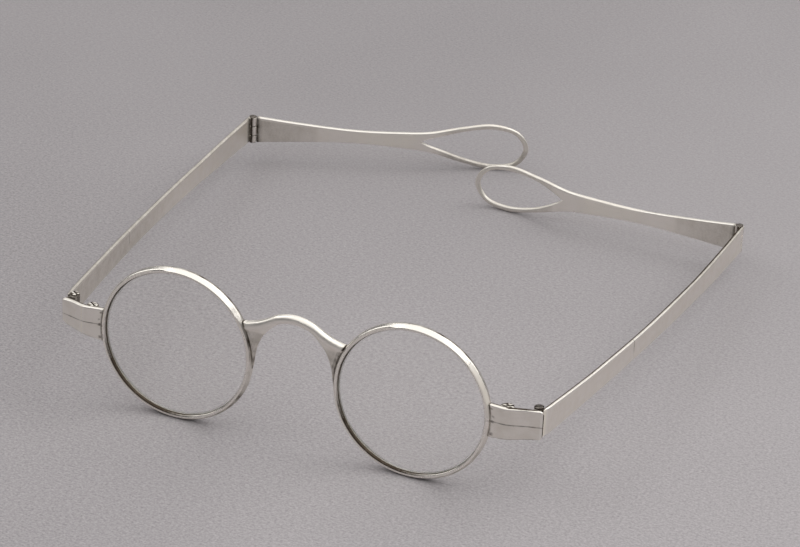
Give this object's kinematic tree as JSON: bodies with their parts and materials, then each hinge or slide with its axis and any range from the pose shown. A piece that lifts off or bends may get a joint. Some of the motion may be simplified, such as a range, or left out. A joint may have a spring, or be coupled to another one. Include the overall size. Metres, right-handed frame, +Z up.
{
  "type": "folding spectacles",
  "caption": "Silver spectacles with round clear lenses, an arched bridge, screwed end pieces and flat temples that are hinged again halfway and end in open loops.",
  "frame": {"origin": "on the ground, at the middle of the bounding box's underside, with the spectacles standing as in the picture on both rims and both loops", "axes": "+Z up; the lenses face -Y and lean back 5 degrees; the temples run back along +Y; the wearer's left side is on +X, called right here as seen from in front"},
  "size_m": [0.1256, 0.1308, 0.0355],
  "materials": {
    "bridge_silver": "old polished silver with fine scratches and grey tarnish in its seams",
    "rim_silver": "old polished silver with fine scratches and grey tarnish in its seams",
    "endpiece_silver": "old polished silver with fine scratches and grey tarnish in its seams",
    "bar_silver": "old polished silver with fine scratches and grey tarnish in its seams",
    "tip_silver": "old polished silver with fine scratches and grey tarnish in its seams",
    "lens_glass": "clear polished glass",
    "dark_steel": "dark worn screw steel"
  },
  "bodies": {
    "front": {"bridge": "bridge_silver", "right_rim": "rim_silver", "right_lens": "lens_glass", "right_endpiece_upper": "endpiece_silver", "right_endpiece_lower": "endpiece_silver", "right_closing_screw": "dark_steel", "right_hinge_screw": "dark_steel", "left_rim": "rim_silver", "left_lens": "lens_glass", "left_endpiece_upper": "endpiece_silver", "left_endpiece_lower": "endpiece_silver", "left_closing_screw": "dark_steel", "left_hinge_screw": "dark_steel"},
    "right_temple": {"right_bar_front": "bar_silver", "right_bar_rear": "bar_silver", "right_rear_pin": "dark_steel"},
    "right_tip": {"right_tip": "tip_silver"},
    "left_temple": {"left_bar_front": "bar_silver", "left_bar_rear": "bar_silver", "left_rear_pin": "dark_steel"},
    "left_tip": {"left_tip": "tip_silver"}
  },
  "joints": [
    {"name": "right_temple_hinge", "type": "hinge", "parent": "front", "child": "right_temple", "pos_m": [0.05289, -0.05906, 0.0174], "axis": [0, 0.0885, 0.9961], "range_deg": [0, 24]},
    {"name": "right_end_hinge", "type": "hinge", "parent": "right_temple", "child": "right_tip", "pos_m": [0.06169, 0.0431, 0.00762], "axis": [0, 0.0885, 0.9961], "range_deg": [-85, 85]},
    {"name": "left_temple_hinge", "type": "hinge", "parent": "front", "child": "left_temple", "pos_m": [-0.05531, -0.05906, 0.0174], "axis": [0, -0.0885, -0.9961], "range_deg": [0, 12]},
    {"name": "left_end_hinge", "type": "hinge", "parent": "left_temple", "child": "left_tip", "pos_m": [-0.0616, 0.04329, 0.0076], "axis": [0, -0.0885, -0.9961], "range_deg": [-66, 96]}
  ]
}
